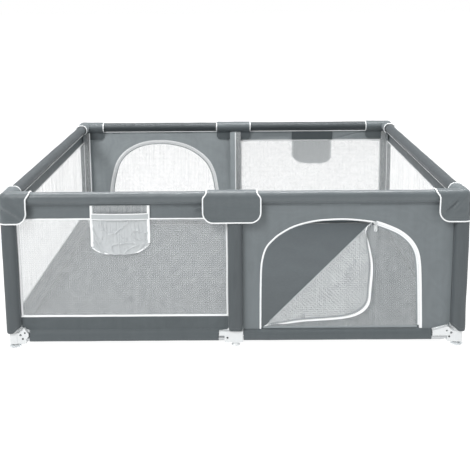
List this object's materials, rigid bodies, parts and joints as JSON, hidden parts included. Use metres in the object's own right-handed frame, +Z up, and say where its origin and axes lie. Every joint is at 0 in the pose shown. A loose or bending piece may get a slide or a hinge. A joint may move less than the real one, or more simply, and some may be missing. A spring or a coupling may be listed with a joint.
{
  "type": "playpen",
  "caption": "Free-standing rectangular baby playpen: padded rails on fabric-covered tube posts, mesh windows, arched zip doors in front and rear walls, and a fabric floor.",
  "frame": {"origin": "centre of the footprint, on the surface it stands on", "axes": "+X along the long side, front faces -Y, +Z up"},
  "size_m": [1.9, 1.65, 0.66],
  "materials": {
    "steel_tube": "plain zinc-plated tube",
    "white_plastic": "moulded, satin",
    "clear_rubber": "clear soft vinyl",
    "dark_screw": "black oxide",
    "foam": "closed-cell foam",
    "grey_fabric": "coated woven polyester",
    "floor_fabric": "coated woven polyester",
    "window_mesh": "fine knitted mesh",
    "door_mesh": "fine knitted mesh",
    "zip_tape": "white woven tape with coil zip",
    "zip_metal": "white enamel",
    "pocket_mesh": "soft knitted mesh"
  },
  "bodies": {
    "frame": {"bottom_rail_left": "steel_tube", "bottom_rail_right": "steel_tube", "bottom_rails_front": "steel_tube", "bottom_rails_rear": "steel_tube", "corner_foot_front_left": "white_plastic", "corner_foot_front_right": "white_plastic", "corner_foot_rear_left": "white_plastic", "corner_foot_rear_right": "white_plastic", "door_wall_front": "grey_fabric", "door_wall_rear": "grey_fabric", "fabric_front_left": "grey_fabric", "fabric_left": "grey_fabric", "fabric_rear_right": "grey_fabric", "fabric_right": "grey_fabric", "floor": "floor_fabric", "locking_screws": "dark_screw", "mesh_front_left": "window_mesh", "mesh_left": "window_mesh", "mesh_rear_right": "window_mesh", "mesh_right": "window_mesh", "middle_foot_front": "white_plastic", "middle_foot_rear": "white_plastic", "pocket_front": "pocket_mesh", "pocket_rear": "pocket_mesh", "post_front_left": "steel_tube", "post_front_middle": "steel_tube", "post_front_right": "steel_tube", "post_rear_left": "steel_tube", "post_rear_middle": "steel_tube", "post_rear_right": "steel_tube", "post_sleeves_front": "grey_fabric", "post_sleeves_rear": "grey_fabric", "rail_foam": "foam", "suction_cups": "clear_rubber", "top_corner_front_left": "white_plastic", "top_corner_front_right": "white_plastic", "top_corner_rear_left": "white_plastic", "top_corner_rear_right": "white_plastic", "top_middle_front": "white_plastic", "top_middle_rear": "white_plastic", "top_rail_front_left": "steel_tube", "top_rail_front_right": "steel_tube", "top_rail_left": "steel_tube", "top_rail_rear_left": "steel_tube", "top_rail_rear_right": "steel_tube", "top_rail_right": "steel_tube", "zip_tapes": "zip_tape"},
    "front_door": {"front_door": "door_mesh"},
    "front_door_corner": {"front_door_corner": "door_mesh"},
    "front_zip_slider": {"front_zip_slider": "zip_metal"},
    "front_zip_pull": {"front_zip_pull": "zip_metal"},
    "rear_door": {"rear_door": "door_mesh"},
    "rear_zip_slider": {"rear_zip_slider": "zip_metal"},
    "rear_zip_pull": {"rear_zip_pull": "zip_metal"},
    "corner_cover_front_left": {"corner_cover_front_left": "grey_fabric"},
    "corner_cover_front_right": {"corner_cover_front_right": "grey_fabric"},
    "corner_cover_rear_left": {"corner_cover_rear_left": "grey_fabric"},
    "corner_cover_rear_right": {"corner_cover_rear_right": "grey_fabric"},
    "middle_cover_front": {"middle_cover_front": "grey_fabric"},
    "middle_cover_rear": {"middle_cover_rear": "grey_fabric"}
  },
  "joints": [
    {"name": "front_door_swing", "type": "hinge", "parent": "frame", "child": "front_door", "pos_m": [0.438, -0.791, 0.072], "axis": [1, 0, 0], "range_deg": [0, 95]},
    {"name": "front_door_corner_fold", "type": "hinge", "parent": "front_door", "child": "front_door_corner", "pos_m": [0.1148, -0.794, 0.072], "axis": [0.6988, 0, 0.7153], "range_deg": [-180, 0]},
    {"name": "front_zip_run", "type": "hinge", "parent": "front_door", "child": "front_zip_slider", "pos_m": [0.438, -0.796, 0.05959], "axis": [0, 1, 0], "range_deg": [-47, 15]},
    {"name": "front_zip_pull_swing", "type": "hinge", "parent": "front_zip_slider", "child": "front_zip_pull", "pos_m": [0.56812, -0.79875, 0.51997], "axis": [1, 0, 0], "range_deg": [-150, 0]},
    {"name": "rear_door_swing", "type": "hinge", "parent": "frame", "child": "rear_door", "pos_m": [-0.438, 0.791, 0.072], "axis": [-1, 0, 0], "range_deg": [0, 95]},
    {"name": "rear_zip_run", "type": "slide", "parent": "rear_door", "child": "rear_zip_slider", "axis": [0, 0, 1], "range_m": [0, 0.2]},
    {"name": "rear_zip_pull_swing", "type": "hinge", "parent": "rear_zip_slider", "child": "rear_zip_pull", "pos_m": [-0.107, 0.79875, 0.118], "axis": [-1, 0, 0], "range_deg": [-150, 0]},
    {"name": "corner_cover_front_left_lift", "type": "slide", "parent": "frame", "child": "corner_cover_front_left", "axis": [0, 0, 1], "range_m": [0, 0.14]},
    {"name": "corner_cover_front_right_lift", "type": "slide", "parent": "frame", "child": "corner_cover_front_right", "axis": [0, 0, 1], "range_m": [0, 0.14]},
    {"name": "corner_cover_rear_left_lift", "type": "slide", "parent": "frame", "child": "corner_cover_rear_left", "axis": [0, 0, 1], "range_m": [0, 0.14]},
    {"name": "corner_cover_rear_right_lift", "type": "slide", "parent": "frame", "child": "corner_cover_rear_right", "axis": [0, 0, 1], "range_m": [0, 0.14]},
    {"name": "middle_cover_front_lift", "type": "slide", "parent": "frame", "child": "middle_cover_front", "axis": [0, 0, 1], "range_m": [0, 0.14]},
    {"name": "middle_cover_rear_lift", "type": "slide", "parent": "frame", "child": "middle_cover_rear", "axis": [0, 0, 1], "range_m": [0, 0.14]}
  ]
}
